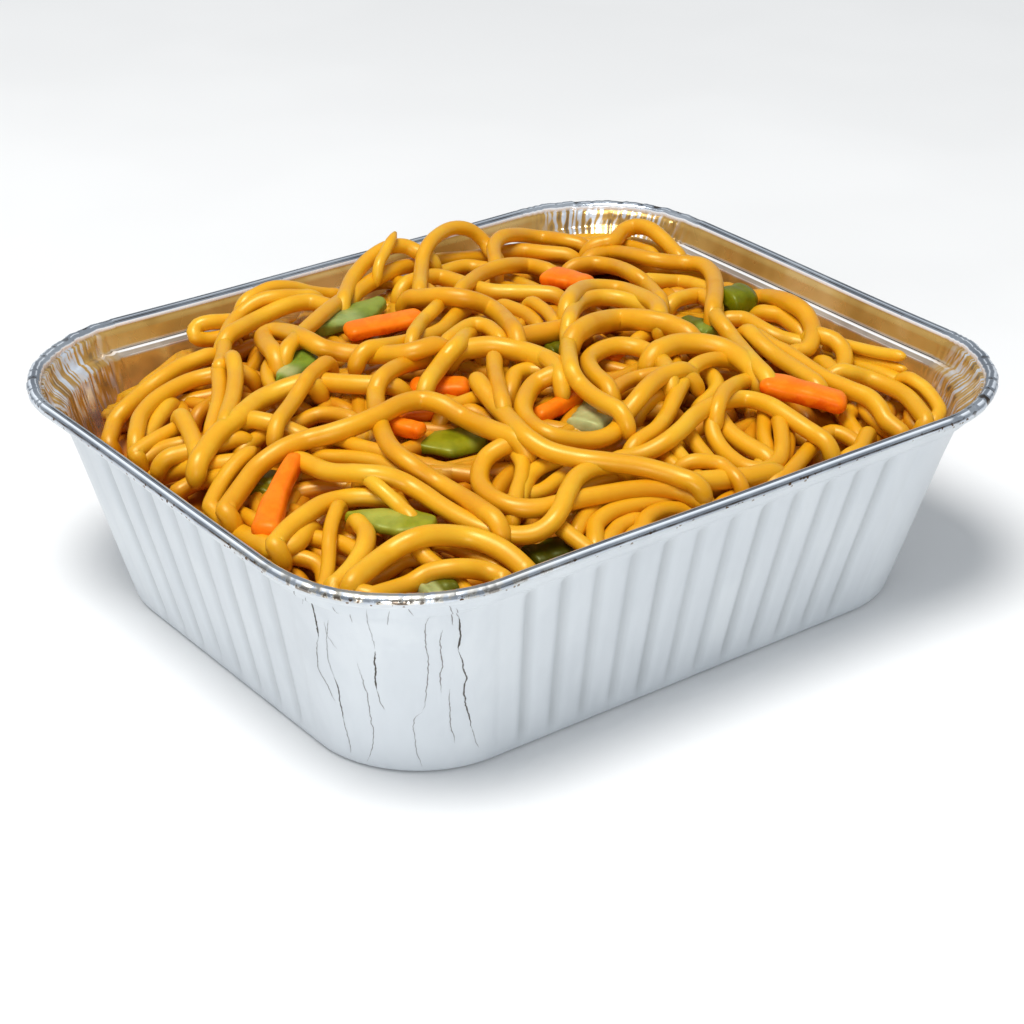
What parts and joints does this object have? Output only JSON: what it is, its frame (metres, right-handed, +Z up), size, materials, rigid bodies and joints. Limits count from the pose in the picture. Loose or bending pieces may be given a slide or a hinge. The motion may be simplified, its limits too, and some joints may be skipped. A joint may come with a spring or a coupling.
{
  "type": "foil takeout container of noodles",
  "caption": "Open rolled-rim foil takeout tray heaped with golden fried noodles, carrot sticks and cut green beans.",
  "frame": {"origin": "centre of the tray's flat floor, on the surface it stands on", "axes": "+X along the tray's long side, +Y across it, +Z up out of the open top"},
  "size_m": [0.1448, 0.1208, 0.0476],
  "materials": {
    "tray": "satin coated foil outside, bright foil inside",
    "noodles": null,
    "carrot": null,
    "green": null
  },
  "bodies": {
    "root": {"tray": "tray", "noodles": "noodles", "carrot_1": "carrot", "carrot_2": "carrot", "carrot_3": "carrot", "carrot_4": "carrot", "carrot_5": "carrot", "carrot_6": "carrot", "carrot_7": "carrot", "carrot_8": "carrot", "carrot_9": "carrot", "green_1": "green", "green_2": "green", "green_3": "green", "green_4": "green", "green_5": "green", "green_6": "green", "green_7": "green", "green_8": "green", "green_9": "green", "green_10": "green", "green_11": "green"}
  },
  "joints": []
}
